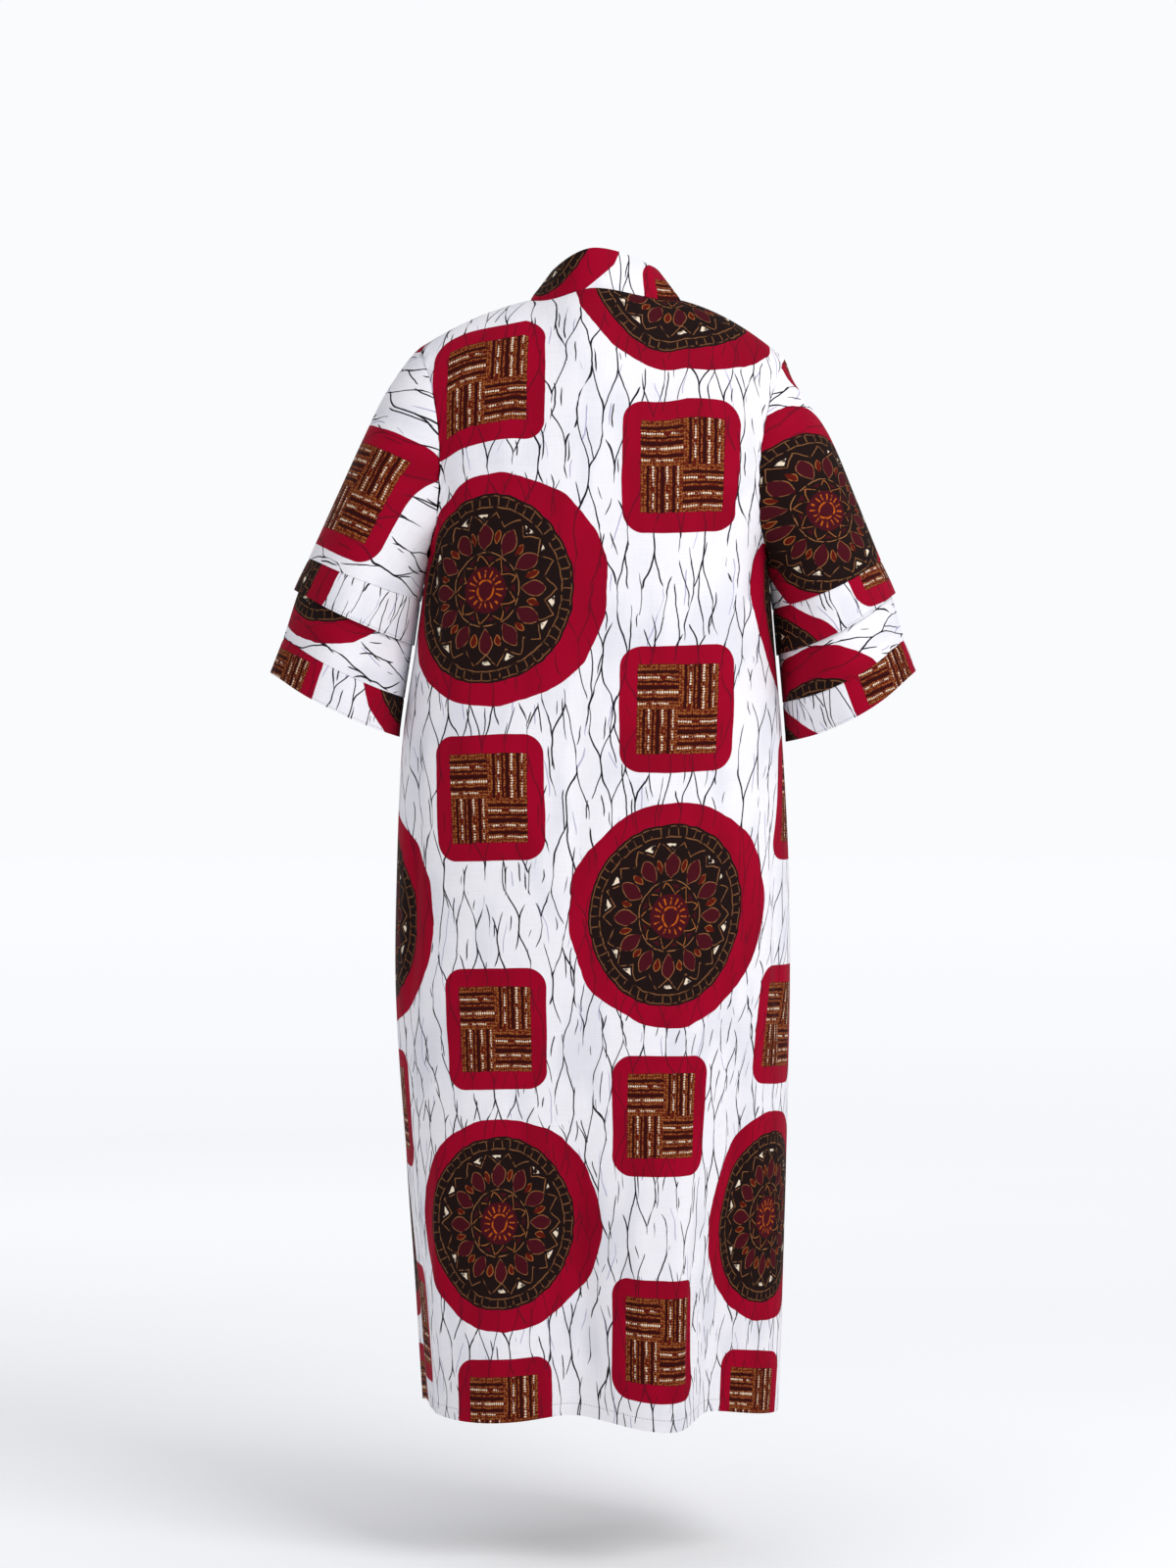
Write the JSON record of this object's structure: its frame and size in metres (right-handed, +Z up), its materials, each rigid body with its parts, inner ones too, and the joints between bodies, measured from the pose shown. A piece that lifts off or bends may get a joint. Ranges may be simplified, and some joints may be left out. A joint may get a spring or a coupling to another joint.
{
  "type": "kimono",
  "caption": "Ankle-length open-fronted robe in printed cotton, worn and hollow, with a standing collar strip and wide elbow sleeves in two banded tiers.",
  "frame": {"origin": "middle of the neck, level with the points where the shoulder seams meet the collar, in the plane of the shoulder and side seams", "axes": "+Z up; +Y towards the wearer's back; +X towards the wearer's left"},
  "size_m": [0.7916, 0.3286, 1.4147],
  "materials": {
    "printed_cotton": "crisp plain-weave cotton with a wax-resist print, matt with a faint sheen"
  },
  "bodies": {
    "root": {"back_lower": "printed_cotton", "back_upper": "printed_cotton", "collar": "printed_cotton", "front_lower_left": "printed_cotton", "front_upper_left": "printed_cotton", "front_band_left": "printed_cotton", "sleeve_upper_left": "printed_cotton", "sleeve_upper_band_left": "printed_cotton", "sleeve_lower_left": "printed_cotton", "sleeve_lower_band_left": "printed_cotton", "front_lower_right": "printed_cotton", "front_upper_right": "printed_cotton", "front_band_right": "printed_cotton", "sleeve_upper_right": "printed_cotton", "sleeve_upper_band_right": "printed_cotton", "sleeve_lower_right": "printed_cotton", "sleeve_lower_band_right": "printed_cotton"}
  },
  "joints": []
}
